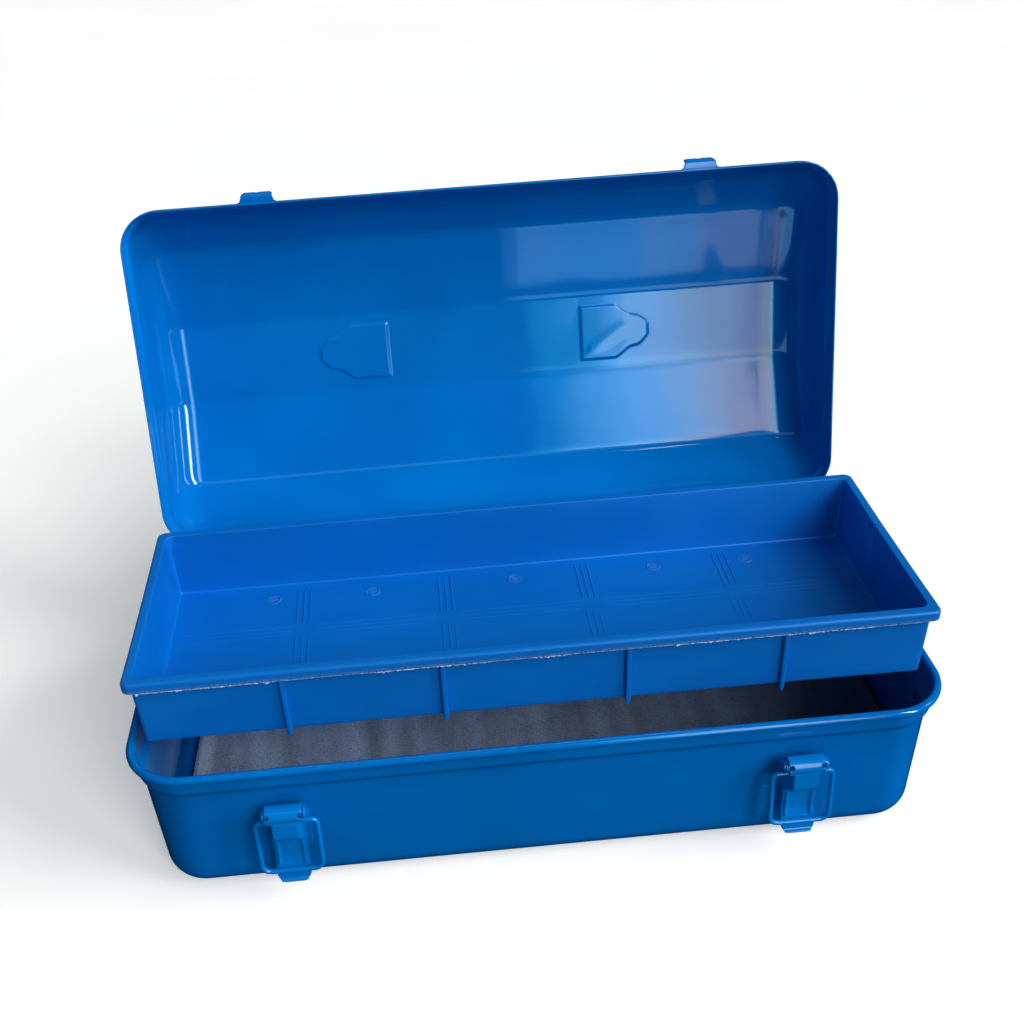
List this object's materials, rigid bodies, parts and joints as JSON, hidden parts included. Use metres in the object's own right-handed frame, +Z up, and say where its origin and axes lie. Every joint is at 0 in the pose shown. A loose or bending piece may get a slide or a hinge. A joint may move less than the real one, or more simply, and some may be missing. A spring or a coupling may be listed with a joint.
{
  "type": "portable tool box",
  "caption": "Portable pressed-steel tool box with a hip-roof lid on rear hinges, a lift-out plastic tray, draw latches, a folding handle and a soft floor liner.",
  "frame": {"origin": "centre of the flat bottom, on the surface the box stands on", "axes": "+X to the right as seen from the latch side, +Y towards the hinges, +Z up; the rest pose has the lid open and the tray raised, as pictured"},
  "size_m": [0.36, 0.263, 0.2486],
  "materials": {
    "blue_painted_steel": "glossy blue enamel over pressed steel",
    "tray_plastic": "moulded dark blue plastic, satin with a fine grain",
    "liner_felt": "dark grey felt-like foam sheet",
    "plated_steel_pin": "zinc-plated steel"
  },
  "bodies": {
    "base": {"base_shell": "blue_painted_steel", "floor_liner": "liner_felt", "left_hinge_base_leaf": "blue_painted_steel", "right_hinge_base_leaf": "blue_painted_steel", "left_hinge_pin": "plated_steel_pin", "right_hinge_pin": "plated_steel_pin", "left_latch_bracket": "blue_painted_steel", "right_latch_bracket": "blue_painted_steel", "left_latch_pin": "blue_painted_steel", "right_latch_pin": "blue_painted_steel"},
    "lid": {"lid_shell": "blue_painted_steel", "left_hinge_lid_leaf": "blue_painted_steel", "right_hinge_lid_leaf": "blue_painted_steel", "left_strike": "blue_painted_steel", "right_strike": "blue_painted_steel", "left_handle_bracket": "blue_painted_steel", "right_handle_bracket": "blue_painted_steel"},
    "handle": {"carry_handle": "blue_painted_steel", "left_handle_rivet": "plated_steel_pin", "right_handle_rivet": "plated_steel_pin"},
    "tray": {"lift_out_tray": "tray_plastic"},
    "left_lever": {"left_latch_lever": "blue_painted_steel"},
    "right_lever": {"right_latch_lever": "blue_painted_steel"},
    "left_bail": {"left_latch_bail": "blue_painted_steel"},
    "right_bail": {"right_latch_bail": "blue_painted_steel"}
  },
  "joints": [
    {"name": "lid_hinge", "type": "hinge", "parent": "base", "child": "lid", "pos_m": [0, 0.091, 0.07019], "axis": [1, 0, 0], "range_deg": [0, 102.42]},
    {"name": "tray_lift", "type": "slide", "parent": "base", "child": "tray", "axis": [0, 0, -1], "range_m": [0, 0.0432]},
    {"name": "handle_pivot", "type": "hinge", "parent": "lid", "child": "handle", "pos_m": [0, 0.16301, 0.14751], "axis": [1, 0, 0], "range_deg": [-12.42, 167.58]},
    {"name": "left_lever_pivot", "type": "hinge", "parent": "base", "child": "left_lever", "pos_m": [-0.111, -0.08955, 0.05327], "axis": [-1, 0, 0], "range_deg": [0, 120]},
    {"name": "left_bail_pivot", "type": "hinge", "parent": "left_lever", "child": "left_bail", "pos_m": [-0.111, -0.08789, 0.04713], "axis": [1, 0, 0], "range_deg": [-171.5, 0]},
    {"name": "right_lever_pivot", "type": "hinge", "parent": "base", "child": "right_lever", "pos_m": [0.111, -0.08955, 0.05327], "axis": [-1, 0, 0], "range_deg": [0, 120]},
    {"name": "right_bail_pivot", "type": "hinge", "parent": "right_lever", "child": "right_bail", "pos_m": [0.111, -0.08789, 0.04713], "axis": [1, 0, 0], "range_deg": [-171.5, 0]}
  ],
  "couplings": [
    {"joint": "tray_lift", "follows": "lid_hinge", "m_per_rad": 0.024166}
  ]
}
